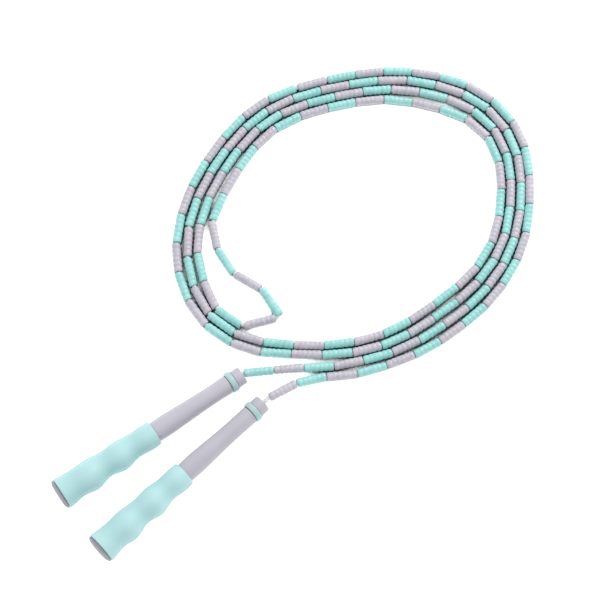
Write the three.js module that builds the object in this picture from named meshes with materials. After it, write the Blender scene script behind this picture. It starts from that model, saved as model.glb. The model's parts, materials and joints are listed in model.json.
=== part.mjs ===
// Soft-beaded jump rope, laid on the floor in a loose oval coil with its two handles side by side.
// Millimetres, +Z up, floor at z = 0, origin in the middle of the footprint.
// Arm "a" is the half of the rope that ends in handle a, arm "b" the half that ends in handle b.
// The arms meet at the fold of the loose inner loop. Beads are counted from each handle.

import * as THREE from 'three';

// ---- Beads and cord -----------------------------------------------------------------------
const beadRadius = 3.45;
const beadEndRadius = 2.6; // flat part of a bead's end face
const beadRounding = 1.1; // length over which a bead rounds off towards its end
const beadGap = 0.6; // between two neighbouring beads
const neckRadius = 2.7; // where two beads of a run touch
const boreRadius = 2.1;
const cordRadius = 1.5;
const cordTaper = 0.7; // length of the cone that ends each piece of cord
const cordGap = 0.3; // between two pieces of cord at a flexing gap
const beadSides = 8;
const cordSides = 6;

// ---- Coil ---------------------------------------------------------------------------------
const floorHeight = beadRadius; // height of the cord where the beads lie on the floor
const coilMeanRadius = 107; // innermost strand
// The oval's departures from a circle: [lobes, size in mm, direction of a lobe in degrees]
const coilLobes = [[1, 5.8, -61], [2, 13.6, 32], [3, 1.1, 30], [4, 2.3, 39], [5, 1.1, -19]];
const strandPitch = 7.9;
// Where strands stray from the oval: [degrees, half width in degrees, outward mm for each strand
// from the innermost]
const strayPlaces = [
  [6, 13, [-1.0, -1.3, -1.15, -2.0]],
  [56, 19.5, [-8.8, -6.5, -4.8, -4.3]],
  [193, 45, [-2.1, 0.2, 0.8, 1.3]],
  [240, 17, [4.4, 3.3, 5.1, 2.1]],
  [309, 20, [-3.1, -2.2, -1.2, -0.6]],
];
// Where both arms move two places inwards, in degrees turned around the coil
const shiftStart = 575;
const shiftEnd = 611;
const coilStep = 6; // degrees between the points that guide the strands

// ---- Arms: [x, y, z] in mm from the middle of the coil ---------------------------------------
// drift: the beads sit unevenly on the cord; [bead, how far the gap after it lies past even spacing]
const armA = {
  beads: 63,
  place: 3, // counted from the innermost strand outwards
  tail: [[-84.3, -132.6, 7.7], [-83.4, -132, 7.7], [-61.9, -129.7, 6.3], [-38.9, -127.2, 4.3],
    [-15.8, -125.3, floorHeight]],
  coilFrom: 274,
  coilTo: 898,
  loop: [[-109.2, -8.3], [-107.9, -18], [-105.3, -31.6], [-100.2, -43], [-91.7, -52.3], [-71.6, -65],
    [-64.2, -73.5], [-58.9, -83.8]],
  drift: [[0, 0], [1, -1.2], [11, -4.6], [28, -3.4], [33, 4.8], [40, 3.6], [57, -3.6], [63, 0]],
};
const armB = {
  beads: 67,
  place: 4,
  tail: [[-66.1, -151.7, 7.5], [-65, -150.4, 7.4], [-45.4, -139.8, 5.5], [-21.8, -134.1, 4.1],
    [1.4, -131.4, floorHeight]],
  coilFrom: 286,
  coilTo: 926,
  loop: [[-105.2, -79.4], [-95.2, -87.4], [-85.4, -92.8], [-75.4, -92], [-62.7, -87.9]],
  drift: [[0, 0], [4, 0.2], [10, -4.6], [17, 0.2], [22, -2.4], [24, 1.8], [34, 10.1], [38, 9.8],
    [60, -2.8], [67, 0]],
};
const foldPoint = [-57.5, -86.4]; // where the two arms' centre lines would cross at the fold

// Beads with a node of their own: the first of each arm in flexing links, the last in the loop
const tailLinks = [[1, 1], [2, 2], [3, 4], [5, 6]];
const loopBeadsA = 3;
const loopBeadsB = 2;
const runsPerArm = 8;

// ---- Handles --------------------------------------------------------------------------------
const handleLength = 162;
const mouthA = [-85.4, -133.6];
const mouthB = [-69.9, -155.3];
const headingA = 34.9; // degrees, direction from butt to mouth
const headingB = 43.3;
const ringRadius = 8.1;
const ringStart = 149.9;
const ringWidth = 4.6;
const fitGap = 0.3; // between a part and the part around it

const gripStart = 2.4; // distances along the handle are taken from the butt
const gripEnd = 83.5;
const gripRadii = [11.75, 9.45]; // mean radius at the butt and at the far end
const gripWaveLength = 26;
const gripFirstCrest = 1.5;
const gripEndWave = 0.2; // height of the waves at the ends of the grip
const gripMiddleWave = 0.95; // and in its middle
const gripFingerShare = 0.45; // share by which the waves are higher on the fingers' side
const gripSlant = 1.2; // how far the waves lean back along the handle on the fingers' side
const gripBore = 7.9;
const tubeBore = 5.4;
const spigotRadius = tubeBore - fitGap;
const handleSides = 16;

const teal = 0x9fe6dc;
const grey = 0xc8c0cc;
const cordWhite = 0xf0f1f3;

// ---- Materials --------------------------------------------------------------------------------
const plastic = (color, roughness) => new THREE.MeshStandardMaterial({ color, roughness, metalness: 0 });
const materials = {
  beadTeal: plastic(teal, 0.45),
  beadGrey: plastic(grey, 0.45),
  gripTeal: plastic(0xb4e8e6, 0.55),
  handleGrey: plastic(0xc4c1cb, 0.4),
  cord: plastic(cordWhite, 0.3),
  steel: new THREE.MeshStandardMaterial({ color: 0xb8bcc0, roughness: 0.3, metalness: 0.9 }),
};

const rope = new THREE.Group();

function addPart(name, geometry, material, parent = rope) {
  const mesh = new THREE.Mesh(geometry, material);
  mesh.name = name;
  parent.add(mesh);
}

// A solid of revolution about Y from [radius, height] pairs, listed upwards on the outside
function turned(profile, sides) {
  return new THREE.LatheGeometry(profile.map(([r, y]) => new THREE.Vector2(r, y)), sides);
}

// ---- The rope's path ----------------------------------------------------------------------------
// A strand between two places strays by a mixture of what those two do
function strayAt(strays, place) {
  const inner = Math.min(Math.floor(place), strays.length - 1);
  return THREE.MathUtils.lerp(strays[inner - 1], strays[inner], place - inner);
}

function strandRadius(degrees, place) {
  const lobes = coilLobes.reduce((sum, [count, size, towards]) => {
    const angle = THREE.MathUtils.degToRad(count * (degrees - towards));
    return sum + size * Math.cos(angle);
  }, 0);
  const stray = strayPlaces.reduce((sum, [centre, width, strays]) => {
    const away = THREE.MathUtils.euclideanModulo(degrees - centre + 180, 360) - 180;
    return sum + strayAt(strays, place) * Math.exp(-((away / width) ** 2));
  }, 0);
  return coilMeanRadius + lobes + (place - 1) * strandPitch + stray;
}

function coilPoint(degrees, place) {
  const radius = strandRadius(degrees, place);
  const angle = THREE.MathUtils.degToRad(degrees);
  return new THREE.Vector3(radius * Math.cos(angle), radius * Math.sin(angle), floorHeight);
}

function armCurve(arm) {
  const points = arm.tail.map(([x, y, z]) => new THREE.Vector3(x, y, z));
  for (let degrees = arm.coilFrom; degrees <= arm.coilTo; degrees += coilStep) {
    const place = arm.place - 2 * THREE.MathUtils.smoothstep(degrees, shiftStart, shiftEnd);
    points.push(coilPoint(degrees, place));
  }
  arm.loop.forEach(([x, y]) => points.push(new THREE.Vector3(x, y, floorHeight)));
  return smoothCurve(points);
}

function smoothCurve(points) {
  const curve = new THREE.CatmullRomCurve3(points, false, 'centripetal');
  curve.arcLengthDivisions = 40 * points.length;
  return curve;
}

// Bends a geometry that runs along Y so that its axis follows the curve
function bentAlong(geometry, curve) {
  const position = geometry.attributes.position;
  const length = curve.getLength();
  const worldUp = new THREE.Vector3(0, 0, 1);
  for (let i = 0; i < position.count; i += 1) {
    const along = THREE.MathUtils.clamp(position.getY(i) / length, 0, 1);
    const tangent = curve.getTangentAt(along);
    const side = new THREE.Vector3().crossVectors(worldUp, tangent).normalize();
    const up = new THREE.Vector3().crossVectors(tangent, side);
    const point = curve.getPointAt(along);
    point.addScaledVector(up, position.getX(i)).addScaledVector(side, position.getZ(i));
    position.setXYZ(i, point.x, point.y, point.z);
  }
  return geometry;
}

// ---- Beads and cord along the path ----------------------------------------------------------------
// Consecutive beads threaded on the curve; limits are the distances of the gaps before, between
// and after them
function beadRun(curve, limits) {
  const first = limits[0] + beadGap / 2;
  const last = limits[limits.length - 1] - beadGap / 2;
  const outside = [];
  for (let i = 0; i + 1 < limits.length; i += 1) {
    const from = i === 0 ? first : limits[i];
    const to = i + 2 === limits.length ? last : limits[i + 1];
    outside.push([i === 0 ? beadEndRadius : neckRadius, from]);
    outside.push([beadRadius, from + beadRounding]);
    outside.push([beadRadius, (from + to) / 2]);
    outside.push([beadRadius, to - beadRounding]);
  }
  outside.push([beadEndRadius, last]);
  const bore = [first, ...limits.slice(1, -1), last].reverse().map((y) => [boreRadius, y]);
  return bentAlong(turned([...outside, ...bore, outside[0]], beadSides), curve);
}

// One piece of cord along the curve with a ring at each of the given distances
function cordPiece(curve, limits) {
  const first = limits[0] + cordGap / 2;
  const last = limits[limits.length - 1] - cordGap / 2;
  const profile = [
    [0, first],
    [cordRadius, first + cordTaper],
    ...limits.slice(1, -1).map((y) => [cordRadius, y]),
    [cordRadius, last - cordTaper],
    [0, last],
  ];
  return bentAlong(turned(profile, cordSides), curve);
}

const colourOf = (isTeal) => (isTeal ? materials.beadTeal : materials.beadGrey);

function driftAfter(drift, bead) {
  const next = Math.max(1, drift.findIndex(([upTo]) => upTo >= bead));
  const [[from, driftFrom], [to, driftTo]] = [drift[next - 1], drift[next]];
  return THREE.MathUtils.mapLinear(bead, from, to, driftFrom, driftTo);
}

// Tail, coil and loop beads of one arm; returns its curve and the gaps from the coil to the fold
function addArm(letter, arm, loopBeads, firstIsTeal) {
  const curve = armCurve(arm);
  // The cord is bare from the flexing point to the first bead
  const slack = new THREE.Vector3(...arm.tail[0]).distanceTo(new THREE.Vector3(...arm.tail[1]));
  const pitch = (curve.getLength() - slack) / arm.beads;
  const gapAfter = (bead) => slack + bead * pitch + driftAfter(arm.drift, bead);
  const isTeal = (bead) => (bead % 2 === 1) === firstIsTeal;
  const addBead = (bead) => addPart(
    `bead_${letter}_${bead}`,
    beadRun(curve, [gapAfter(bead - 1), gapAfter(bead)]),
    colourOf(isTeal(bead)),
  );

  tailLinks.forEach(([from, to], index) => {
    const limits = [];
    for (let bead = from - 1; bead <= to; bead += 1) {
      limits.push(bead === 0 ? 0 : gapAfter(bead));
    }
    addPart(`cord_${letter}_link_${index + 1}`, cordPiece(curve, limits), materials.cord);
    for (let bead = from; bead <= to; bead += 1) {
      addBead(bead);
    }
  });

  const coilStart = tailLinks[tailLinks.length - 1][1];
  const coilEnd = arm.beads - loopBeads;
  const coilLimits = [];
  for (let bead = coilStart; bead <= coilEnd; bead += 1) {
    coilLimits.push(gapAfter(bead));
  }
  addPart(`cord_coil_${letter}`, cordPiece(curve, coilLimits), materials.cord);
  for (let run = 0; run < runsPerArm; run += 1) {
    const from = Math.round((run * (coilEnd - coilStart)) / runsPerArm);
    const to = Math.round(((run + 1) * (coilEnd - coilStart)) / runsPerArm);
    const geometry = beadRun(curve, coilLimits.slice(from, to + 1));
    addPart(`bead_run_${letter}_${run + 1}`, geometry, colourOf(run % 2 === 0));
  }

  const loopGaps = [gapAfter(coilEnd)];
  for (let bead = coilEnd + 1; bead <= arm.beads; bead += 1) {
    addBead(bead);
    loopGaps.push(gapAfter(bead));
  }
  return { curve, loopGaps };
}

// Points of an arm's curve from the coil to the fold
function loopPoints({ curve, loopGaps }) {
  const steps = 4 * (loopGaps.length - 1);
  const points = [];
  for (let i = 0; i <= steps; i += 1) {
    const distance = THREE.MathUtils.lerp(loopGaps[0], loopGaps[loopGaps.length - 1], i / steps);
    points.push(curve.getPointAt(Math.min(1, distance / curve.getLength())));
  }
  return points;
}

// The cord through the loose loop: down arm a, round the fold and back up arm b
function addLoopCord(a, b) {
  const down = loopPoints(a);
  const back = loopPoints(b).reverse();
  const corner = new THREE.Vector3(...foldPoint, floorHeight);
  const fold = new THREE.QuadraticBezierCurve3(down[down.length - 1], corner, back[0]);
  const foldSteps = 6;
  const curve = smoothCurve([...down, ...fold.getPoints(foldSteps).slice(1, -1), ...back]);
  const length = curve.getLength();
  const limits = a.loopGaps.map((gap) => gap - a.loopGaps[0]);
  const foldStart = limits[limits.length - 1];
  const limitsBack = b.loopGaps.map((gap) => length - (gap - b.loopGaps[0])).reverse();
  for (let step = 1; step < foldSteps; step += 1) {
    limits.push(THREE.MathUtils.lerp(foldStart, limitsBack[0], step / foldSteps));
  }
  addPart('cord_loop', cordPiece(curve, [...limits, ...limitsBack]), materials.cord);
}

// ---- Handle parts, turned about Y with the mouth at y = 0 and the butt at y = -handleLength -----
const fromButt = (t) => t - handleLength;
function handlePart(profile, sides = handleSides) {
  return turned(profile.map(([r, t]) => [r, fromButt(t)]), sides);
}

// 0 at the two ends of the grip, 1 in its middle
function gripMiddle(t) {
  const along = THREE.MathUtils.clamp((t - gripStart) / (gripEnd - gripStart), 0, 1);
  return Math.sin(Math.PI * along);
}

function gripWave(t) {
  const height = THREE.MathUtils.lerp(gripEndWave, gripMiddleWave, gripMiddle(t));
  return height * Math.cos((2 * Math.PI * (t - gripFirstCrest)) / gripWaveLength);
}

const gripRadius = (t) => THREE.MathUtils.mapLinear(t, gripStart, gripEnd, ...gripRadii) + gripWave(t);

// Soft sleeve whose waves are higher and lean back on the fingers' side; its two ends stay square
function gripSleeve() {
  const rounding = 1.2;
  const steps = 17;
  const profile = [[gripBore, gripStart], [gripRadius(gripStart) - rounding, gripStart]];
  for (let i = 0; i <= steps; i += 1) {
    const t = THREE.MathUtils.lerp(gripStart + rounding, gripEnd - rounding, i / steps);
    profile.push([gripRadius(t), t]);
  }
  profile.push([gripRadius(gripEnd) - rounding, gripEnd], [gripBore, gripEnd], [gripBore, gripStart]);
  const geometry = handlePart(profile);
  const position = geometry.attributes.position;
  for (let i = 0; i < position.count; i += 1) {
    const t = position.getY(i) + handleLength;
    const radius = Math.hypot(position.getX(i), position.getZ(i));
    const fingers = position.getX(i) / radius;
    if (radius > gripBore + fitGap) {
      const stretch = 1 + (gripFingerShare * gripWave(t) * fingers) / radius;
      position.setX(i, position.getX(i) * stretch);
      position.setZ(i, position.getZ(i) * stretch);
    }
    position.setY(i, position.getY(i) - gripSlant * gripMiddle(t) * fingers);
  }
  return geometry;
}

function handleTube() {
  const start = gripStart + 1;
  const end = ringStart - fitGap;
  return handlePart([
    [tubeBore, start], [7.6, start], [7.6, gripEnd + fitGap], [7.8, gripEnd + 2], [8.0, 94], [7.8, 101],
    [7.45, 110], [7.1, 119], [6.9, 127], [6.8, 136], [7.0, end], [tubeBore, end], [tubeBore, start],
  ]);
}

function accentRing() {
  const bore = spigotRadius + fitGap;
  const end = ringStart + ringWidth;
  const shoulder = 7.3;
  return handlePart([
    [bore, ringStart], [shoulder, ringStart], [7.95, ringStart + 1],
    [ringRadius, ringStart + ringWidth / 2], [7.95, end - 1], [shoulder, end], [bore, end],
    [bore, ringStart],
  ]);
}

function noseCap() {
  const shoulder = ringStart + ringWidth + fitGap;
  const bore = 1.9;
  const flare = 3.0;
  const spigotEnd = 140;
  return handlePart([
    [bore, spigotEnd], [spigotRadius, spigotEnd], [spigotRadius, shoulder], [6.85, shoulder],
    [6.85, handleLength - 1], [6.1, handleLength], [flare, handleLength], [bore, handleLength - 3],
    [bore, spigotEnd],
  ]);
}

function endCap() {
  const face = -0.9;
  const flange = gripStart - fitGap;
  const plugEnd = 11;
  return handlePart([
    [0, face], [7.5, face], [9.9, face + 0.5], [11.3, face + 1.5], [11.7, face + 2.4], [11.7, flange],
    [spigotRadius, flange], [spigotRadius, plugEnd - 0.6], [spigotRadius - 0.6, plugEnd], [0, plugEnd],
  ]);
}

function swivelWasher() {
  return handlePart([[1.9, 138.3], [4.9, 138.3], [4.9, 139.7], [1.9, 139.7], [1.9, 138.3]], 12);
}

function cordStop() {
  const bore = 1.8;
  const edge = 0.8;
  const from = 129;
  const to = 138;
  return handlePart([
    [bore, from], [4 - edge, from], [4, from + edge], [4, to - edge], [4 - edge, to], [bore, to],
    [bore, from],
  ], 12);
}

// Cord from the flexing point outside the mouth, through the nose and the stop, to its melted bulb
function cordEnd(flexPoint, mouth, heading) {
  const inside = (t) => mouth.clone().addScaledVector(heading, fromButt(t));
  const bulb = 3.2;
  const tailEnd = 125.5;
  const curve = smoothCurve([flexPoint, mouth, inside(158), inside(145), inside(132), inside(tailEnd)]);
  const length = curve.getLength();
  const toMouth = flexPoint.distanceTo(mouth);
  return bentAlong(turned([
    [0, cordGap / 2], [cordRadius, cordGap / 2 + cordTaper], [cordRadius, toMouth + 1],
    [cordRadius, toMouth + 3], [cordRadius, toMouth + 6], [cordRadius, length - bulb - 0.4],
    [2.6, length - bulb + 0.4], [2.6, length - 0.8], [1.6, length], [0, length],
  ], 8), curve);
}

// A handle lies on its ring and on the third crest of its grip
function addHandle(letter, mouthPlace, headingDegrees, arm) {
  const ringMiddle = ringStart + ringWidth / 2;
  const crest = gripFirstCrest + 2 * gripWaveLength;
  const slope = Math.asin((gripRadius(crest) - ringRadius) / (ringMiddle - crest));
  const angle = THREE.MathUtils.degToRad(headingDegrees);
  const heading = new THREE.Vector3(
    Math.cos(slope) * Math.cos(angle),
    Math.cos(slope) * Math.sin(angle),
    -Math.sin(slope),
  );
  const mouthHeight = ringRadius / Math.cos(slope) - (handleLength - ringMiddle) * Math.sin(slope);
  const mouth = new THREE.Vector3(...mouthPlace, mouthHeight);

  const handle = new THREE.Group();
  handle.position.copy(mouth);
  handle.quaternion.setFromUnitVectors(new THREE.Vector3(0, 1, 0), heading);
  addPart(`grip_${letter}`, gripSleeve(), materials.gripTeal, handle);
  addPart(`handle_tube_${letter}`, handleTube(), materials.handleGrey, handle);
  addPart(`accent_ring_${letter}`, accentRing(), materials.gripTeal, handle);
  addPart(`nose_cap_${letter}`, noseCap(), materials.handleGrey, handle);
  addPart(`end_cap_${letter}`, endCap(), materials.handleGrey, handle);
  addPart(`washer_${letter}`, swivelWasher(), materials.steel, handle);
  addPart(`cord_stop_${letter}`, cordStop(), materials.handleGrey, handle);
  rope.add(handle);

  const flexPoint = new THREE.Vector3(...arm.tail[0]);
  addPart(`cord_end_${letter}`, cordEnd(flexPoint, mouth, heading), materials.cord);
}

const loopA = addArm('a', armA, loopBeadsA, true);
const loopB = addArm('b', armB, loopBeadsB, false);
addLoopCord(loopA, loopB);
addHandle('a', mouthA, headingA, armA);
addHandle('b', mouthB, headingB, armB);

// Moves the origin to the middle of the footprint, on the floor
rope.updateMatrixWorld(true);
const box = new THREE.Box3().setFromObject(rope, true);
rope.position.set(-(box.min.x + box.max.x) / 2, -(box.min.y + box.max.y) / 2, -box.min.z);

const jumpRope = new THREE.Group();
jumpRope.add(rope);
jumpRope.updateMatrixWorld(true);

export default jumpRope;
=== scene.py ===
"""Looks of the coiled soft-beaded jump rope: ribbed beads, clear cord, wavy grips and their handles.

Metres, row frame: +Z up, floor at z = 0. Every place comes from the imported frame: the rope's line from
the rings of the CAD cords, the handles' lines from their spin joints.
"""

import json
import math
import random

import bmesh
import bpy
import numpy as np
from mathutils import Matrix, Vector


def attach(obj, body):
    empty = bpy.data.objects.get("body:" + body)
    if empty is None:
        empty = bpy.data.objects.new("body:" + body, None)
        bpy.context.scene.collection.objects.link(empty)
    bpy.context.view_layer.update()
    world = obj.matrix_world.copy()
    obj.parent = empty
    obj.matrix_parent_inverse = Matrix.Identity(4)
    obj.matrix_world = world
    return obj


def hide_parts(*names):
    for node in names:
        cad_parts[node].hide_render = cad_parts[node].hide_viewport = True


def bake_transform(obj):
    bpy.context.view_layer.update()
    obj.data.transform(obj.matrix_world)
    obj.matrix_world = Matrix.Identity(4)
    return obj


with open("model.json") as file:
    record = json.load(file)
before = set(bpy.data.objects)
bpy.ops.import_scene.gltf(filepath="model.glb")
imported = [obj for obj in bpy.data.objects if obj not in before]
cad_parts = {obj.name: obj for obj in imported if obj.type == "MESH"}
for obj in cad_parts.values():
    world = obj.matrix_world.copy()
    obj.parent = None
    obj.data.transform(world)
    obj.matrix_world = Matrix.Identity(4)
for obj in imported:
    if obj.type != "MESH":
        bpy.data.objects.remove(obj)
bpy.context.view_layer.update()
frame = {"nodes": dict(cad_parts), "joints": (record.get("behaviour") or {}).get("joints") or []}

MM = 0.001
UP = Vector((0, 0, 1))
joints = {joint["name"]: joint for joint in frame["joints"]}
scene = bpy.context.scene

# ---- Sizes in millimetres ------------------------------------------------------------------------
BEAD_RADIUS = 3.46
LOOSE_BEAD_RADIUS = 3.4  # in the tails and in the loose loop
BEAD_LENGTH = 23.3
BEAD_FACE_RADIUS = 2.5  # flat part of a bead's end
BEAD_CROWN_RADIUS = 3.0  # where the slightly domed end meets its rounded edge
BEAD_CROWN = 0.12  # height of the dome
BEAD_ROUNDING = 0.35
BEAD_GAP = 0.4
FLEX_GAP = 0.62  # between the beads of a tail, some of whose gaps bend
BEAD_BORE = 1.95
STRAND_ROOM = 6.95  # least distance between two strands' centre lines
RIBS = 6
RIB_DEPTH = 0.42  # the deepest
RIB_SHARPNESS = 1.3  # above 1 the valleys are narrower than the ribs
BEAD_SIDES = 28
CORD_RADIUS = 1.75
CORD_TIP = 0.4  # length of a cord piece's rounded tip
CORD_CUT = 0.15  # from a gap's middle to the cord piece's tip
FLEX_SLEEVE = 1.02  # radius of the bending sleeves, as a share of the cord's
FLEX_REACH = 1.6  # of the sleeves, to both sides of a gap's middle
MOUTH_FLEX_REACH = 1.1
CORD_SIDES = 20

# Along a handle, distances are taken from the butt
HANDLE_LENGTH = 162
GRIP_START = 2.4
GRIP_END = 83.5
GRIP_BORE = 7.9
GRIP_RADII = (11.75, 9.45)  # mean radius at the butt and at the far end
GRIP_WAVE_LENGTH = 26
GRIP_FIRST_CREST = 1.5
GRIP_WAVE_HEIGHTS = (0.2, 0.95)  # at the ends of the grip and in its middle
GRIP_FINGER_SHARE = 0.45  # share by which the waves are higher on the fingers' side
GRIP_SLANT = 1.2  # how far the waves lean back on the fingers' side
RING_START = 149.9
RING_END = 154.5
RING_RADIUS = 8.1
FIT_GAP = 0.3
TUBE_BORE = 5.4
SPIGOT_RADIUS = TUBE_BORE - FIT_GAP
HANDLE_SIDES = 96


# ---- Node materials ------------------------------------------------------------------------------
def srgb(red, green, blue):
    """0-255 screen colour to a linear RGBA tuple."""
    shares = [c / 255 for c in (red, green, blue)]
    linear = [c / 12.92 if c <= 0.04045 else ((c + 0.055) / 1.055) ** 2.4 for c in shares]
    return (*linear, 1.0)


class Nodes:
    """A small builder for one material's node tree."""

    def __init__(self, name):
        self.material = bpy.data.materials.new(name)
        self.material.use_nodes = True
        self.tree = self.material.node_tree
        self.shader = self.tree.nodes["Principled BSDF"]
        self.place = self.add("ShaderNodeTexCoord").outputs["Object"]

    def add(self, kind, **settings):
        node = self.tree.nodes.new(kind)
        for key, value in settings.items():
            setattr(node, key, value)
        return node

    def join(self, output, socket):
        self.tree.links.new(output, socket)

    def feed(self, socket, value):
        """Links a node's output to the socket, or sets the socket to a plain value."""
        if isinstance(value, bpy.types.NodeSocket):
            self.join(value, socket)
        else:
            socket.default_value = value

    def noise(self, scale, detail=3.0, stretch=None):
        node = self.add("ShaderNodeTexNoise")
        node.inputs["Scale"].default_value = scale
        node.inputs["Detail"].default_value = detail
        source = self.place
        if stretch:
            mapping = self.add("ShaderNodeMapping")
            mapping.inputs["Scale"].default_value = stretch
            self.join(self.place, mapping.inputs["Vector"])
            source = mapping.outputs["Vector"]
        self.join(source, node.inputs["Vector"])
        return node.outputs["Fac"]

    def attribute(self, name):
        return self.add("ShaderNodeAttribute", attribute_name=name).outputs["Fac"]

    def spread(self, value, low, high, to_low=0.0, to_high=1.0):
        node = self.add("ShaderNodeMapRange")
        node.clamp = True
        self.feed(node.inputs["Value"], value)
        ends = {"From Min": low, "From Max": high, "To Min": to_low, "To Max": to_high}
        for socket, number in ends.items():
            node.inputs[socket].default_value = number
        return node.outputs["Result"]

    def mix(self, factor, first, second, blend="MIX"):
        node = self.add("ShaderNodeMix", data_type="RGBA", blend_type=blend)
        self.feed(node.inputs["Factor"], factor)
        self.feed(node.inputs["A"], first)
        self.feed(node.inputs["B"], second)
        return node.outputs["Result"]

    def grazing(self):
        """0 where the surface faces the eye, 1 where it is seen edge on."""
        node = self.add("ShaderNodeLayerWeight")
        node.inputs["Blend"].default_value = 0.5
        return node.outputs["Facing"]

    def bump(self, height, strength, distance):
        node = self.add("ShaderNodeBump")
        node.inputs["Strength"].default_value = strength
        node.inputs["Distance"].default_value = distance
        self.join(height, node.inputs["Height"])
        self.join(node.outputs["Normal"], self.shader.inputs["Normal"])

    def set(self, **values):
        for name, value in values.items():
            self.feed(self.shader.inputs[name.replace("_", " ")], value)


RIM_SHADE = 0.6  # how much painted shade the soft plastic takes where it is seen edge on
RIM_SPREAD = (0.55, 0.95)  # 0 faces the eye, 1 is edge on: where the painted shade begins and where it is full


def soft_plastic(name, base, warm, light, shade, roughness):
    """Satin soft PVC of the beads: paler spots, fine grain, and painted shade at the bead ends, in the
    rib valleys and where seen edge on.
    """
    nodes = Nodes(name)
    mottle = nodes.spread(nodes.noise(55, 2.0), 0.35, 0.65)
    colour = nodes.mix(mottle, base, warm)
    # Painted shade: the bead ends and the rib valleys, as the valley attribute gives them, darkened
    # towards the shade colour.
    valley = nodes.spread(nodes.attribute("valley"), 0.0, 1.0, 0.0, 0.3)
    colour = nodes.mix(valley, colour, shade)
    blotch = nodes.spread(nodes.noise(260, 2.0), 0.4, 0.62, 0.0, 0.35)
    colour = nodes.mix(blotch, colour, light)
    # Painted shade: the colour darkens towards the shade colour where the surface is seen edge on.
    colour = nodes.mix(nodes.spread(nodes.grazing(), *RIM_SPREAD, 0.0, RIM_SHADE), colour, shade)
    worn = nodes.spread(nodes.noise(420, 4.0), 0.45, 0.8, -0.04, 0.08)
    rough = nodes.add("ShaderNodeMath", operation="ADD")
    rough.inputs[0].default_value = roughness
    nodes.join(worn, rough.inputs[1])
    nodes.set(Base_Color=colour, Roughness=rough.outputs["Value"], Specular_IOR_Level=0.45)
    nodes.set(Subsurface_Weight=0.1, Subsurface_Scale=0.001, Sheen_Weight=0.05)
    nodes.bump(nodes.noise(520, 3.0), 0.5, 0.0002)
    return nodes.material


def grip_rubber(name, base, light, shade, rim, roughness):
    """Matte thermoplastic rubber: soft clouding, fine moulded grain, and painted shade in the waves'
    valleys and where seen edge on.
    """
    nodes = Nodes(name)
    cloud = nodes.spread(nodes.noise(38, 3.0), 0.3, 0.7)
    colour = nodes.mix(cloud, base, light)
    # Painted shade: the valleys of the grip's waves darkened towards the shade colour.
    valley = nodes.spread(nodes.attribute("valley"), 0.0, 1.0, 0.0, 0.35)
    colour = nodes.mix(valley, colour, shade)
    # Painted shade: the colour darkens towards the rim colour where the surface is seen edge on.
    colour = nodes.mix(nodes.spread(nodes.grazing(), *RIM_SPREAD, 0.0, 1.0), colour, rim)
    rub = nodes.spread(nodes.noise(160, 5.0), 0.4, 0.75, -0.05, 0.08)
    rough = nodes.add("ShaderNodeMath", operation="ADD")
    rough.inputs[0].default_value = roughness
    nodes.join(rub, rough.inputs[1])
    nodes.set(Base_Color=colour, Roughness=rough.outputs["Value"], Specular_IOR_Level=0.4)
    nodes.set(Subsurface_Weight=0.08, Subsurface_Scale=0.002, Sheen_Weight=0.15)
    nodes.bump(nodes.noise(1500, 3.0), 0.2, 0.0001)
    return nodes.material


def hard_plastic(name, base, light, rim, roughness):
    """Satin moulded plastic: faint flow streaks, fine spark-eroded grain, and painted shade where seen
    edge on.
    """
    nodes = Nodes(name)
    flow = nodes.spread(nodes.noise(30, 4.0, stretch=(1.0, 1.0, 3.0)), 0.35, 0.7)
    colour = nodes.mix(flow, base, light)
    # Painted shade: the colour darkens towards the rim colour where the surface is seen edge on.
    colour = nodes.mix(nodes.spread(nodes.grazing(), *RIM_SPREAD), colour, rim)
    grain = nodes.noise(1900, 2.0)
    rough = nodes.spread(grain, 0.3, 0.7, roughness - 0.05, roughness + 0.07)
    nodes.set(Base_Color=colour, Roughness=rough, Specular_IOR_Level=0.45)
    nodes.bump(grain, 0.1, 0.00006)
    return nodes.material


def clear_cord(name):
    """Milky, slightly translucent PVC cord with faint drawing lines."""
    nodes = Nodes(name)
    haze = nodes.spread(nodes.noise(300, 3.0), 0.3, 0.7)
    colour = nodes.mix(haze, srgb(248, 248, 250), srgb(234, 235, 240))
    nodes.set(Base_Color=colour, Roughness=0.25, Transmission_Weight=0.2, IOR=1.45)
    nodes.set(Subsurface_Weight=0.3, Subsurface_Scale=0.002)
    nodes.bump(nodes.noise(900, 2.0), 0.08, 0.00005)
    return nodes.material


def turned_steel(name):
    """Punched steel washer with a fine brushed grain."""
    nodes = Nodes(name)
    brushed = nodes.noise(700, 4.0, stretch=(1.0, 8.0, 1.0))
    colour = nodes.mix(brushed, srgb(176, 180, 186), srgb(208, 211, 216))
    rough = nodes.spread(brushed, 0.3, 0.7, 0.22, 0.42)
    nodes.set(Base_Color=colour, Roughness=rough, Metallic=1.0)
    nodes.bump(brushed, 0.15, 0.00005)
    return nodes.material


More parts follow.
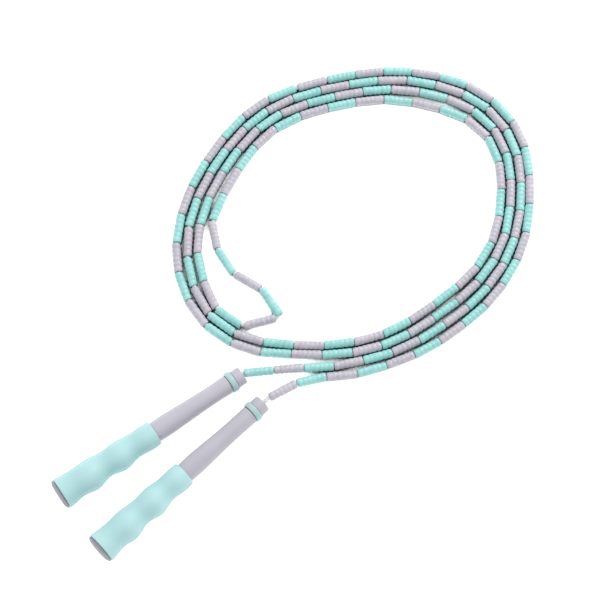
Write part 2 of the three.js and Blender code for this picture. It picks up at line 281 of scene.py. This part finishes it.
# In each look, shade and rim are colours of painted shade.
MATERIALS = {
    "bead_teal": soft_plastic(
        "bead_teal_pvc",
        base=srgb(148, 208, 205),
        warm=srgb(158, 218, 215),
        light=srgb(184, 232, 230),
        shade=srgb(84, 150, 148),
        roughness=0.42,
    ),
    "bead_grey": soft_plastic(
        "bead_grey_pvc",
        base=srgb(186, 184, 195),
        warm=srgb(196, 190, 201),
        light=srgb(214, 212, 221),
        shade=srgb(122, 120, 132),
        roughness=0.42,
    ),
    "grip_teal": grip_rubber(
        "grip_teal_rubber",
        base=srgb(178, 220, 222),
        light=srgb(188, 227, 229),
        shade=srgb(156, 204, 206),
        rim=srgb(136, 178, 180),
        roughness=0.5,
    ),
    "ring_teal": hard_plastic(
        "ring_teal_plastic",
        base=srgb(172, 202, 204),
        light=srgb(180, 208, 210),
        rim=srgb(130, 172, 174),
        roughness=0.35,
    ),
    "handle_grey": hard_plastic(
        "handle_grey_plastic",
        base=srgb(186, 184, 195),
        light=srgb(194, 191, 201),
        rim=srgb(140, 139, 149),
        roughness=0.4,
    ),
    # Painted shade: the handle's grey plastic painted darker, for the shade on the butt's cap.
    "cap_shaded_grey": hard_plastic(
        "cap_shaded_grey_plastic",
        base=srgb(146, 148, 157),
        light=srgb(158, 159, 168),
        rim=srgb(112, 112, 122),
        roughness=0.42,
    ),
    "cord": clear_cord("clear_cord_pvc"),
    "washer": turned_steel("washer_steel"),
}
LOOK_SLOTS = {"ring_teal": "grip_teal", "cap_shaded_grey": "handle_grey"}  # looks not named as their slot


# ---- Mesh building -------------------------------------------------------------------------------
def make_piece(name, vertices, faces, look, attributes=None):
    """A closed smooth-shaded piece with one of the looks in MATERIALS."""
    mesh = bpy.data.meshes.new(name)
    mesh.from_pydata([tuple(v) for v in vertices], [], faces)
    for key, values in (attributes or {}).items():
        mesh.attributes.new(key, "FLOAT", "POINT").data.foreach_set("value", values)
    work = bmesh.new()
    work.from_mesh(mesh)
    bmesh.ops.recalc_face_normals(work, faces=work.faces)
    work.to_mesh(mesh)
    work.free()
    mesh.shade_smooth()
    mesh.set_sharp_from_angle(angle=math.radians(50))
    mesh.materials.append(MATERIALS[look])
    piece = bpy.data.objects.new(name, mesh)
    scene.collection.objects.link(piece)
    LOOK_SLOTS.get(look, look)
    return piece


def revolve(name, outline, sides, place, look, valley=None):
    """Turns (radius, along) pairs about a line. place(along, radius, turn) gives each point.

    An outline that returns to its first pair is a ring; one that starts and ends at radius 0 is solid.
    """
    looped = outline[0] == outline[-1]
    if looped:
        outline = outline[:-1]
    vertices, rings, painted_shades = [], [], []
    for radius, along in outline:
        count = 1 if radius == 0 else sides
        rings.append([len(vertices) + i for i in range(count)])
        for i in range(count):
            vertices.append(place(along, radius, 2 * math.pi * i / sides))
            # valley gives each point's share of painted shade.
            painted_shades.append(valley(radius, along) if valley else 0.0)
    if looped:
        rings.append(rings[0])
    faces = []
    for lower, upper in zip(rings, rings[1:]):
        for i in range(sides):
            corners = [lower[i % len(lower)], lower[(i + 1) % len(lower)],
                       upper[(i + 1) % len(upper)], upper[i % len(upper)]]
            faces.append(list(dict.fromkeys(corners)))
    return make_piece(name, vertices, faces, look, {"valley": painted_shades})


# ---- The rope's line, read from the CAD cords ----------------------------------------------------
def ring_centres(node, seed):
    """Centres of a CAD cord's rings, from its end nearest to seed to its other end."""
    mesh = frame["nodes"][node].data
    spots, spot_of = {}, []
    for vertex in mesh.vertices:
        spot_of.append(spots.setdefault(tuple(round(c, 7) for c in vertex.co), len(spots)))
    places = [Vector(spot) for spot in spots]
    neighbours = [set() for _ in places]
    for edge in mesh.edges:
        a, b = (spot_of[i] for i in edge.vertices)
        if a != b:
            neighbours[a].add(b)
            neighbours[b].add(a)
    layer = {min(range(len(places)), key=lambda i: (places[i] - seed).length)}
    seen = set(layer)
    centres = []
    while layer:
        centres.append(sum((places[i] for i in layer), Vector()) / len(layer))
        layer = {j for i in layer for j in neighbours[i]} - seen
        seen |= layer
    return centres


def knots_of(node, seed):
    """The centres at the bead gaps: both tips and every ring but the tips' own cones."""
    centres = ring_centres(node, seed)
    return [centres[0], *centres[2:-2], centres[-1]]


class Line:
    """A smooth line through knots, measured by distance along it."""

    STEPS = 16

    def __init__(self, knots, overhang=0.0):
        """overhang is the length of a straight stretch added after the last knot."""
        knots = [Vector(k) for k in knots]
        before = knots[0] * 2 - knots[1]
        after = knots[-1] * 2 - knots[-2]
        ghosts = [before, *knots, after]
        points = []
        for i in range(1, len(ghosts) - 2):
            p0, p1, p2, p3 = ghosts[i - 1:i + 3]
            for step in range(self.STEPS):
                points.append(self.between(p0, p1, p2, p3, step / self.STEPS))
        points.append(knots[-1])
        if overhang:
            points.append(knots[-1] + (points[-1] - points[-2]).normalized() * overhang)
        self.points = np.array([tuple(p) for p in points])
        spans = np.linalg.norm(np.diff(self.points, axis=0), axis=1)
        self.distance = np.concatenate([[0.0], np.cumsum(spans)])
        self.knots = [float(self.distance[i * self.STEPS]) for i in range(len(knots))]

    @staticmethod
    def between(p0, p1, p2, p3, t):
        """Catmull-Rom curve from p1 to p2, timed by the square root of each span."""
        t1 = max((p1 - p0).length, 1e-6) ** 0.5
        t2 = t1 + max((p2 - p1).length, 1e-6) ** 0.5
        t3 = t2 + max((p3 - p2).length, 1e-6) ** 0.5
        now = t1 + (t2 - t1) * t
        a1 = p0.lerp(p1, now / t1)
        a2 = p1.lerp(p2, (now - t1) / (t2 - t1))
        a3 = p2.lerp(p3, (now - t2) / (t3 - t2))
        b1 = a1.lerp(a2, now / t2)
        b2 = a2.lerp(a3, (now - t1) / (t3 - t1))
        return b1.lerp(b2, (now - t1) / (t2 - t1))

    def at(self, distance):
        return Vector([float(np.interp(distance, self.distance, self.points[:, k])) for k in range(3)])

    def axes(self, distance, reach=0.0012):
        """(point, side, up) at that distance, the line's direction averaged over reach on both sides."""
        total = self.distance[-1]
        tangent = self.at(min(total, distance + reach)) - self.at(max(0.0, distance - reach))
        tangent.normalize()
        side = UP.cross(tangent).normalized()
        return self.at(distance), side, tangent.cross(side)

    def place(self, along, radius, turn):
        point, side, up = self.axes(along)
        return point + (side * math.cos(turn) + up * math.sin(turn)) * radius


def arm_knots(letter, loop_part):
    """Every bead gap of one arm, from the flexing point at the handle's mouth to the fold."""
    seed = Vector(joints[f"handle_{letter}_raise"]["pos_m"])
    knots = []
    for node in [*(f"cord_{letter}_link_{k}" for k in (1, 2, 3, 4)), f"cord_coil_{letter}"]:
        part = knots_of(node, seed)
        knots.extend(part if not knots else part[1:])
        seed = part[-1]
    return [*knots, *loop_part[1:]]


LINK_TOPS = {1: 1, 2: 2, 3: 4, 4: 6}  # the last bead, and gap, of each tail body counted from the handle
LOOP_BEADS = {"a": 3, "b": 2}  # beads of each arm in the loose loop
loop_knots = knots_of("cord_loop", Vector(joints["loop_lift"]["pos_m"]))
FOLD_OVERHANGS = {"a": 0.0024, "b": 0.0022}  # how far the last beads reach over the fold of the cord
arms = {
    "a": Line(arm_knots("a", loop_knots[:LOOP_BEADS["a"] + 1]), FOLD_OVERHANGS["a"]),
    "b": Line(arm_knots("b", loop_knots[::-1][:LOOP_BEADS["b"] + 1]), FOLD_OVERHANGS["b"]),
}
loop_line = Line(loop_knots)


# ---- Beads ---------------------------------------------------------------------------------------
OWN_STRAND = 0.06  # a bead's neighbours on its own strand are this near along the line
COIL_STIFFNESS = (0.7, 0.95)  # 0 bends with the cord, 1 stays straight
LOOSE_STIFFNESS = 0.9  # in the tails and in the loose loop
MOST_OFFSET = 0.3  # of a bead's end, sideways
RADIUS_CHANGES = (-0.07, 0.04)
SLIP_SHARES = (0.3, 0.7)  # of a bead's spare room, on its handle side
RIB_DEPTH_SHARES = (0.5, 1.0)  # of the deepest
VALLEY_SHADE = 0.2  # how much of the rims' shade the valleys have
LAST_BEAD_FLARES = {"a": 0.45, "b": 0.0}  # how much the last bead of an arm widens at the fold


def bead_outline(start, end, radius, depths, flare):
    """(radius, along) pairs of one ribbed bead, in metres, looped round its bore.

    depths holds the depth of the valley before every rib and of the one after the last. The bead widens
    towards its end by flare.
    """
    rounding = BEAD_ROUNDING * MM
    crown = (BEAD_CROWN_RADIUS * MM, BEAD_CROWN * MM)
    front = []
    steps = 4
    for i in range(steps + 1):
        angle = math.pi / 2 * i / steps
        front.append((math.sin(angle), crown[1] + rounding * (1 - math.cos(angle))))
    edge = crown[1] + rounding
    body = end - start - 2 * edge
    ribs = []
    rings = RIBS * 8
    for i in range(1, rings):
        x = i / rings
        dip = 0.5 + 0.5 * math.cos(2 * math.pi * RIBS * x)
        depth = depths[round(RIBS * x)]
        ribs.append((radius + flare * x ** 3 - depth * dip ** RIB_SHARPNESS, start + edge + body * x))
    bore = BEAD_BORE * MM
    face = BEAD_FACE_RADIUS * MM
    outline = [(bore, start), (face, start)]
    outline += [(crown[0] + (radius - depths[0] - crown[0]) * grown, start + y) for grown, y in front]
    outline += ribs
    mouth = radius + flare - depths[-1]
    outline += [(crown[0] + (mouth - crown[0]) * grown, end - y) for grown, y in reversed(front)]
    outline += [(face, end)]
    outline += [(bore, end), (bore, (start + end) / 2), (bore, start)]
    return outline


def bead_body(letter, bead, last):
    """The CAD body that carries a bead, counted from its handle."""
    if bead > last - LOOP_BEADS[letter]:
        return "loop"
    for link, top in LINK_TOPS.items():
        if bead <= top:
            return f"tail_{letter}_{link}"
    return "coil"


def room_beside(line, distance):
    """How much farther than bead to bead the nearest other strand is, in metres."""
    point = np.array(line.at(distance))
    nearest = math.inf
    for other in arms.values():
        away = np.linalg.norm(other.points - point, axis=1)
        if other is line:
            away[np.abs(other.distance - distance) < OWN_STRAND] = math.inf
        nearest = min(nearest, float(away.min()))
    return max(0.0, nearest - STRAND_ROOM * MM)


def joint_turns(line):
    """The angle between the straight lines of the two beads at every knot; 0 at both ends."""
    spots = [line.at(distance) for distance in line.knots]
    spans = [after - before for before, after in zip(spots, spots[1:])]
    return [0.0, *(before.angle(after) for before, after in zip(spans, spans[1:])), 0.0]


class BeadAxis:
    """A soft tube's axis: between the rope's line and the straight line from end to end.

    The straight line cuts the curve's corner, so the axis is set out again by half of what it gains.
    """

    def __init__(self, line, start, end, stiffness, offsets):
        self.line, self.start, self.end = line, start, end
        self.stiffness, self.offsets = stiffness, offsets
        self.chord = (line.at(start), line.at(end))
        middle = (self.chord[0] + self.chord[1]) / 2
        self.shift = (line.at((start + end) / 2) - middle) * (stiffness / 2)

    def place(self, along, radius, turn):
        point, side, up = self.line.axes(along)
        share = (along - self.start) / (self.end - self.start)
        chord = self.chord[0].lerp(self.chord[1], share)
        middle = point.lerp(chord, self.stiffness) + self.shift
        middle += side * (self.offsets[0] * (1 - share) + self.offsets[1] * share)
        return middle + (side * math.cos(turn) + up * math.sin(turn)) * radius


def bead_painted_shade(start, end, radius):
    """How much shade a bead's surface takes: all at its rims, a little in its valleys."""
    def painted_shade(r, along):
        rim = min(along - start, end - along) / (BEAD_ROUNDING * MM)
        dip = (radius - r) / (RIB_DEPTH * MM)
        return max(0.0, min(1.0, max(dip * VALLEY_SHADE, 1.0 - rim)))

    return painted_shade


def add_beads(letter, teal_first, draw):
    """All beads of one arm, each a little differently placed, as loosely threaded tubes are."""
    line = arms[letter]
    count = len(line.knots) - 1
    pitch = line.knots[2] - line.knots[1]
    turns = joint_turns(line)
    for bead in range(1, count + 1):
        body = bead_body(letter, bead, count)
        stiffness = draw.uniform(*COIL_STIFFNESS) if body == "coil" else LOOSE_STIFFNESS
        plain_radius = BEAD_RADIUS if body == "coil" else LOOSE_BEAD_RADIUS
        radius = (plain_radius + draw.uniform(*RADIUS_CHANGES)) * MM
        start, end = line.knots[bead - 1], line.knots[bead]
        if bead == 1:
            start = end - pitch
        if bead == count:
            end += FOLD_OVERHANGS[letter]
        margins = []
        for knot in (bead - 1, bead):
            least = (FLEX_GAP if knot <= LINK_TOPS[4] else BEAD_GAP) / 2 * MM
            margins.append(max(least, radius * math.tan(turns[knot] * stiffness / 2)))
        start += margins[0]
        end -= margins[1]
        spare = max(0.0, end - start - BEAD_LENGTH * MM) if body == "coil" else 0.0
        slip = draw.uniform(*SLIP_SHARES) * spare
        start += slip
        end -= spare - slip
        room = [min(MOST_OFFSET * MM, room_beside(line, spot) / 2) for spot in (start, end)]
        offsets = [draw.uniform(-1, 1) * most for most in room]
        axis = BeadAxis(line, start, end, stiffness, offsets)
        look = "bead_teal" if (bead % 2 == 1) == teal_first else "bead_grey"
        depths = [draw.uniform(*RIB_DEPTH_SHARES) * RIB_DEPTH * MM for _ in range(RIBS + 1)]
        flare = LAST_BEAD_FLARES[letter] * MM if bead == count else 0.0
        outline = bead_outline(start, end, radius, depths, flare)
        painted_shade = bead_painted_shade(start, end, radius)
        piece = revolve(f"soft_bead_{letter}_{bead:02d}", outline, BEAD_SIDES, axis.place, look, painted_shade)
        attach(piece, body)
        own = f"bead_{letter}_{bead}"
        if own in frame["nodes"]:
            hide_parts(own)


def hide_runs(letter):
    """The coil's beads stand for the CAD's bead runs."""
    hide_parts(*(n for n in frame["nodes"] if n.startswith(f"bead_run_{letter}_")))


# ---- Cord ----------------------------------------------------------------------------------------
def cord_tip(radius, tip):
    """(radius, along) pairs of a rounded tip, from its point."""
    return [(0, 0), (radius * 0.6, tip * 0.15), (radius * 0.9, tip * 0.5)]


def add_cord(name, line, start, end, body, nodes, spacing=0.003):
    """A round cord along part of a line, with softly rounded tips."""
    radius = CORD_RADIUS * MM
    tip = CORD_TIP * MM
    outline = [(r, start + y) for r, y in cord_tip(radius, tip)]
    steps = max(2, round((end - start) / spacing))
    for i in range(steps + 1):
        outline.append((radius, start + tip + (end - start - 2 * tip) * i / steps))
    outline += [(r, end - y) for r, y in reversed(cord_tip(radius, tip))]
    piece = revolve(name, outline, CORD_SIDES, line.place, "cord")
    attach(piece, body)
    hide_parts(*nodes)


def add_flexing_cord(name, line, middle, reach, body_a, body_b):
    """A short sleeve of cord over a flexing gap between two bodies."""
    radius = CORD_RADIUS * FLEX_SLEEVE * MM
    outline = [(0, middle - reach), (radius, middle - reach)]
    steps = 12
    for i in range(1, steps):
        outline.append((radius, middle - reach + 2 * reach * i / steps))
    outline += [(radius, middle + reach), (0, middle + reach)]
    piece = revolve(name, outline, CORD_SIDES, line.place, "cord")
    start, end = (tuple(line.at(middle + side * 0.7 * reach)) for side in (-1, 1))
    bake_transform(piece)
    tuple(start)
    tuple(end)


def add_arm_cords(letter):
    """The arm's cord, body by body, and the sleeves over its flexing gaps."""
    line = arms[letter]
    cut = CORD_CUT * MM
    low = 0
    for link, top in LINK_TOPS.items():
        name = f"cord_in_tail_{letter}_{link}"
        nodes = [f"cord_{letter}_link_{link}"]
        add_cord(name, line, line.knots[low] + cut, line.knots[top] - cut, f"tail_{letter}_{link}", nodes)
        low = top
    coil_end = len(line.knots) - 1 - LOOP_BEADS[letter]
    start, end = line.knots[low] + cut, line.knots[coil_end] - cut
    add_cord(f"cord_in_coil_{letter}", line, start, end, "coil", [f"cord_coil_{letter}"])
    reach = FLEX_REACH * MM
    bodies = [*(f"tail_{letter}_{link}" for link in LINK_TOPS), "coil"]
    for knot, before, after in zip(LINK_TOPS.values(), bodies, bodies[1:]):
        add_flexing_cord(f"cord_flex_{letter}_{knot}", line, line.knots[knot], reach, before, after)
    add_flexing_cord(f"cord_flex_{letter}_loop", line, line.knots[coil_end], reach, "coil", "loop")


def add_loop_cord():
    """The cord through the loose loop and round its fold."""
    cut = CORD_CUT * MM
    end = loop_line.distance[-1] - cut
    add_cord("cord_in_loop", loop_line, cut, end, "loop", ["cord_loop"], spacing=0.0012)


# ---- Handles -------------------------------------------------------------------------------------
class Handle:
    """A handle's own measure: t in mm from the butt towards the mouth, turned about the spin axis."""

    def __init__(self, letter):
        joint = joints[f"handle_{letter}_spin"]
        self.letter = letter
        self.mouth = Vector(joint["pos_m"])
        self.heading = Vector(joint["axis"]).normalized()
        self.side = UP.cross(self.heading).normalized()
        self.up = self.heading.cross(self.side)

    def place(self, t, radius, turn):
        centre = self.mouth + self.heading * ((t - HANDLE_LENGTH) * MM)
        return centre + (self.side * math.cos(turn) + self.up * math.sin(turn)) * (radius * MM)

    def add(self, name, outline, look, body, nodes, sides=HANDLE_SIDES, place=None, valley=None):
        piece = revolve(f"{name}_{self.letter}", outline, sides, place or self.place, look, valley)
        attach(piece, f"{body}_{self.letter}")
        if nodes:
            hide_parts(*(f"{node}_{self.letter}" for node in nodes))
        return piece


def arc(centre_radius, centre_t, radius, from_degrees, to_degrees, steps=6):
    """Points of a rounded edge in a handle outline; 0 degrees points outwards, 90 to the mouth."""
    points = []
    for i in range(steps + 1):
        angle = math.radians(from_degrees + (to_degrees - from_degrees) * i / steps)
        points.append((centre_radius + radius * math.cos(angle), centre_t + radius * math.sin(angle)))
    return points


def grip_middle(t):
    """0 at the two ends of the grip, 1 in its middle."""
    share = (t - GRIP_START) / (GRIP_END - GRIP_START)
    return math.sin(math.pi * min(1.0, max(0.0, share)))


def grip_wave(t):
    """How far the sleeve's wave stands out of its even taper."""
    low, high = GRIP_WAVE_HEIGHTS
    height = low + (high - low) * grip_middle(t)
    return height * math.cos(2 * math.pi * (t - GRIP_FIRST_CREST) / GRIP_WAVE_LENGTH)


def grip_radius(t):
    """The sleeve's radius, before its waves grow on the fingers' side."""
    share = (t - GRIP_START) / (GRIP_END - GRIP_START)
    return GRIP_RADII[0] + (GRIP_RADII[1] - GRIP_RADII[0]) * share + grip_wave(t)


def add_grip(handle):
    """Soft sleeve whose waves are higher and lean back on the fingers' side; its ends stay square."""
    edge = 1.0
    outline = [(GRIP_BORE, GRIP_START)]
    outline += arc(grip_radius(GRIP_START) - edge, GRIP_START + edge, edge, -90, 0)
    steps = 110
    for i in range(1, steps):
        t = GRIP_START + edge + (GRIP_END - GRIP_START - 2 * edge) * i / steps
        outline.append((grip_radius(t), t))
    outline += arc(grip_radius(GRIP_END) - edge, GRIP_END - edge, edge, 0, 90)
    outline += [(GRIP_BORE, GRIP_END), (GRIP_BORE, GRIP_START)]

    def place(t, radius, turn):
        fingers = -math.cos(turn)
        if radius > GRIP_BORE:
            radius += GRIP_FINGER_SHARE * grip_wave(t) * fingers
        return handle.place(t - GRIP_SLANT * grip_middle(t) * fingers, radius, turn)

    # Painted shade in the troughs of the grip's waves: 1 in a trough, 0 on a crest.
    def valley(radius, t):
        return 0.5 - 0.5 * math.cos(2 * math.pi * (t - GRIP_FIRST_CREST) / GRIP_WAVE_LENGTH)

    handle.add("soft_grip", outline, "grip_teal", "handle", ["grip"], place=place, valley=valley)


def smooth_outline(corners, spacing):
    """Points of a cubic through (radius, t) corners, close enough together to look round."""
    ts = np.array([t for _, t in corners])
    rs = np.array([r for r, _ in corners])
    slopes = np.gradient(rs, ts)
    points = []
    for i in range(len(ts) - 1):
        span = ts[i + 1] - ts[i]
        steps = max(1, round(span / spacing))
        for step in range(steps):
            x = step / steps
            h = (2 * x**3 - 3 * x**2 + 1, x**3 - 2 * x**2 + x, -2 * x**3 + 3 * x**2, x**3 - x**2)
            r = h[0] * rs[i] + h[1] * span * slopes[i] + h[2] * rs[i + 1] + h[3] * span * slopes[i + 1]
            points.append((float(r), float(ts[i] + span * x)))
    points.append((float(rs[-1]), float(ts[-1])))
    return points


def add_tube(handle):
    """Hollow core; its neck swells gently between the grip and the ring."""
    start = GRIP_START + 1
    end = RING_START - FIT_GAP
    edge = 0.5
    neck_end = 7.0
    neck = smooth_outline([(7.75, GRIP_END + 1.5), (8.0, 94), (7.8, 101), (7.45, 110), (7.1, 119),
                           (6.9, 127), (6.8, 136), (6.9, 143), (neck_end, end - edge)], 1.5)
    outline = [(TUBE_BORE, start), (7.6, start), (7.6, GRIP_END + 0.4)]
    outline += neck
    outline += arc(neck_end - edge, end - edge, edge, 15, 90)
    outline += [(TUBE_BORE, end), (TUBE_BORE, start)]
    handle.add("tube_neck", outline, "handle_grey", "handle", ["handle_tube"])


def add_ring(handle):
    """Rounded accent band."""
    shoulder = 7.2
    middle = (RING_START + RING_END) / 2
    half = (RING_END - RING_START) / 2
    outline = [(TUBE_BORE, RING_START), (shoulder, RING_START)]
    steps = 16
    for i in range(1, steps):
        angle = math.radians(-90 + 180 * i / steps)
        swell = (RING_RADIUS - shoulder) * math.cos(angle) ** 0.55
        outline.append((shoulder + swell, middle + half * math.sin(angle)))
    outline += [(shoulder, RING_END), (TUBE_BORE, RING_END), (TUBE_BORE, RING_START)]
    handle.add("ring_band", outline, "ring_teal", "handle", ["accent_ring"])


def add_nose(handle):
    """Cap that closes the mouth round the cord."""
    shoulder = RING_END + FIT_GAP
    spigot_end = 140
    radius = 6.85
    bore = 1.9
    flare = 3.0
    edge = 0.9
    break_edge = 0.3
    outline = [(bore, spigot_end), (SPIGOT_RADIUS, spigot_end), (SPIGOT_RADIUS, shoulder)]
    outline += arc(radius - break_edge, shoulder + break_edge, break_edge, -90, 0, 3)
    outline += arc(radius - edge, HANDLE_LENGTH - edge, edge, 0, 90)
    depth = 3
    steps = 6
    for i in range(steps + 1):
        angle = math.pi / 2 * i / steps
        outline.append((bore + (flare - bore) * (1 - math.sin(angle)),
                        HANDLE_LENGTH - depth * (1 - math.cos(angle))))
    outline += [(bore, spigot_end + 10), (bore, spigot_end)]
    handle.add("nose", outline, "handle_grey", "handle", ["nose_cap"])


def add_end_cap(handle):
    """Domed plug in the butt."""
    face = -0.4
    flange = GRIP_START - FIT_GAP
    plug_end = 11
    radius = 11.7
    outline = [(0, face), (3, face), (7, face)]
    steps = 10
    for i in range(1, steps + 1):
        angle = math.pi / 2 * i / steps
        outline.append((7 + (radius - 7) * math.sin(angle), face + 2.4 * (1 - math.cos(angle))))
    outline += [(radius, flange - 0.2), (radius - 0.2, flange), (SPIGOT_RADIUS, flange)]
    outline += [(SPIGOT_RADIUS, plug_end - 0.6), (SPIGOT_RADIUS - 0.6, plug_end), (0, plug_end)]
    handle.add("plug_cap", outline, "cap_shaded_grey", "cap", ["end_cap"])


def add_inside(handle):
    """Washer and stop, which only show when a cap is pulled."""
    sides = 48
    washer_body = {"a": "handle", "b": "washer"}[handle.letter]
    bore = 1.9
    low, high = 138.3, 139.7
    radius = 4.9
    edge = 0.2
    washer = [(bore, low), (radius - edge, low), (radius, low + edge)]
    washer += [(radius, high - edge), (radius - edge, high), (bore, high), (bore, low)]
    handle.add("swivel_washer", washer, "washer", washer_body, ["washer"], sides=sides)
    bore = 1.8
    low, high = 129, 138
    radius = 4.0
    edge = 0.8
    stop = [(bore, low)]
    stop += arc(radius - edge, low + edge, edge, -90, 0)
    stop += arc(radius - edge, high - edge, edge, 0, 90)
    stop += [(bore, high), (bore, low)]
    handle.add("stop_sleeve", stop, "handle_grey", "cord_end", ["cord_stop"], sides=sides)


def add_cord_end(handle):
    """Cord from the flexing point through the nose and the stop to its melted bulb."""
    flex = Vector(joints[f"handle_{handle.letter}_raise"]["pos_m"])
    inside = [handle.place(t, 0, 0) for t in (HANDLE_LENGTH, 158, 145, 132, 125.5)]
    line = Line([flex, *inside])
    radius = CORD_RADIUS * MM
    tip = CORD_TIP * MM
    start = CORD_CUT * MM
    bulb = [(2.2, 0.5), (2.6, 1.2), (2.6, 2.2), (2.0, 2.9), (0, 3.2)]
    run = line.distance[-1] - bulb[-1][1] * MM
    outline = [(r, start + y) for r, y in cord_tip(radius, tip)]
    steps = 24
    for i in range(steps + 1):
        outline.append((radius, start + tip + (run - start - tip) * i / steps))
    outline += [(r * MM, run + y * MM) for r, y in bulb]
    body = f"cord_end_{handle.letter}"
    piece = revolve(f"cord_into_handle_{handle.letter}", outline, CORD_SIDES, line.place, "cord")
    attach(piece, body)
    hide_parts(body)

    arm = arms[handle.letter]
    through = Line([arm.at(0.004), arm.at(0.002), flex, *inside[:2]])
    name = f"cord_flex_{handle.letter}_mouth"
    reach = MOUTH_FLEX_REACH * MM
    add_flexing_cord(name, through, through.knots[2], reach, f"tail_{handle.letter}_1", body)


def add_handle(letter):
    handle = Handle(letter)
    add_grip(handle)
    add_tube(handle)
    add_ring(handle)
    add_nose(handle)
    add_end_cap(handle)
    add_inside(handle)
    add_cord_end(handle)


SEED = 11

draw = random.Random(SEED)
for letter, teal_first in (("a", True), ("b", False)):
    add_beads(letter, teal_first, draw)
    hide_runs(letter)
    add_arm_cords(letter)
    add_handle(letter)
add_loop_cord()


# ---- Floor, light and camera ---------------------------------------------------------------------
FLOOR_HALF = 6.0
FLOOR_GLOW = 0.6
# Painted shade: the floor turns dark teal where the strands close over it.
CREVICE_REACH = 0.006  # how far off the floor's cover counts
CREVICE_OPENNESS = (0.325, 0.4)  # the floor takes the painted shade below the first and is plain above the second
CREVICE_SHADE = (0.025, 0.065, 0.07, 1)
WORLD_LIGHT = 0.55
LIGHTS = {  # place, width in metres and power in watts
    "key": ((0.8, 1.2, 1.3), 0.8, 24),
    "fill": ((-0.9, -0.4, 1.6), 1.5, 8),
}
CAMERA_ELEVATION = 72
CAMERA_DISTANCE = 1.30
CAMERA_AIM = (-0.00028, 0.00397, 0.0)
CAMERA_LENS = 102  # focal length in mm, for a sensor 36 mm wide
CAMERA_SENSOR = 36


def add_floor():
    """White floor that glows a little, with painted shade in the narrow crevices between strands, where
    it turns dark and does not glow.
    """
    nodes = Nodes("white_paper_floor")
    shelter = nodes.add("ShaderNodeAmbientOcclusion")
    shelter.samples = 16
    shelter.inputs["Distance"].default_value = CREVICE_REACH
    openness = nodes.spread(shelter.outputs["AO"], *CREVICE_OPENNESS)
    paper = nodes.mix(nodes.noise(6, 2.0), (0.9, 0.9, 0.9, 1), (0.92, 0.92, 0.92, 1))
    # Painted shade: dark teal and no glow where the strands close over the floor.
    colour = nodes.mix(openness, CREVICE_SHADE, paper)
    nodes.set(Base_Color=colour, Roughness=0.9, Specular_IOR_Level=0.1)
    glow = nodes.mix(openness, (0, 0, 0, 1), (1, 1, 1, 1))
    nodes.set(Emission_Color=glow, Emission_Strength=FLOOR_GLOW)
    mesh = bpy.data.meshes.new("floor")
    half = FLOOR_HALF
    corners = [(-half, -half, 0), (half, -half, 0), (half, half, 0), (-half, half, 0)]
    mesh.from_pydata(corners, [], [(0, 1, 2, 3)])
    mesh.materials.append(nodes.material)
    floor = bpy.data.objects.new("floor", mesh)
    scene.collection.objects.link(floor)


def add_area_light(name, place, width, power):
    """Square soft light that looks at the rope."""
    data = bpy.data.lights.new(name, "AREA")
    data.shape = "SQUARE"
    data.size = width
    data.energy = power
    light = bpy.data.objects.new(name, data)
    light.location = place
    light.rotation_euler = (-Vector(place)).to_track_quat("-Z", "Y").to_euler()
    scene.collection.objects.link(light)


def add_world(strength):
    """Even white light from all round."""
    world = bpy.data.worlds.new("studio")
    world.use_nodes = True
    background = world.node_tree.nodes["Background"]
    background.inputs["Color"].default_value = (1, 1, 1, 1)
    background.inputs["Strength"].default_value = strength
    scene.world = world


def add_camera():
    """Steep view from the handle side; distance and lens give the rope's size in the frame."""
    elevation = math.radians(CAMERA_ELEVATION)
    data = bpy.data.cameras.new("camera")
    data.sensor_width = CAMERA_SENSOR
    data.lens = CAMERA_LENS
    camera = bpy.data.objects.new("camera", data)
    away = Vector((0, -math.cos(elevation), math.sin(elevation)))
    camera.location = Vector(CAMERA_AIM) + away * CAMERA_DISTANCE
    camera.rotation_euler = (-away).to_track_quat("-Z", "Y").to_euler()
    scene.collection.objects.link(camera)
    scene.camera = camera


add_floor()
add_world(WORLD_LIGHT)
for name, (place, width, power) in LIGHTS.items():
    add_area_light(name, place, width, power)
add_camera()
scene.view_settings.view_transform = "Standard"
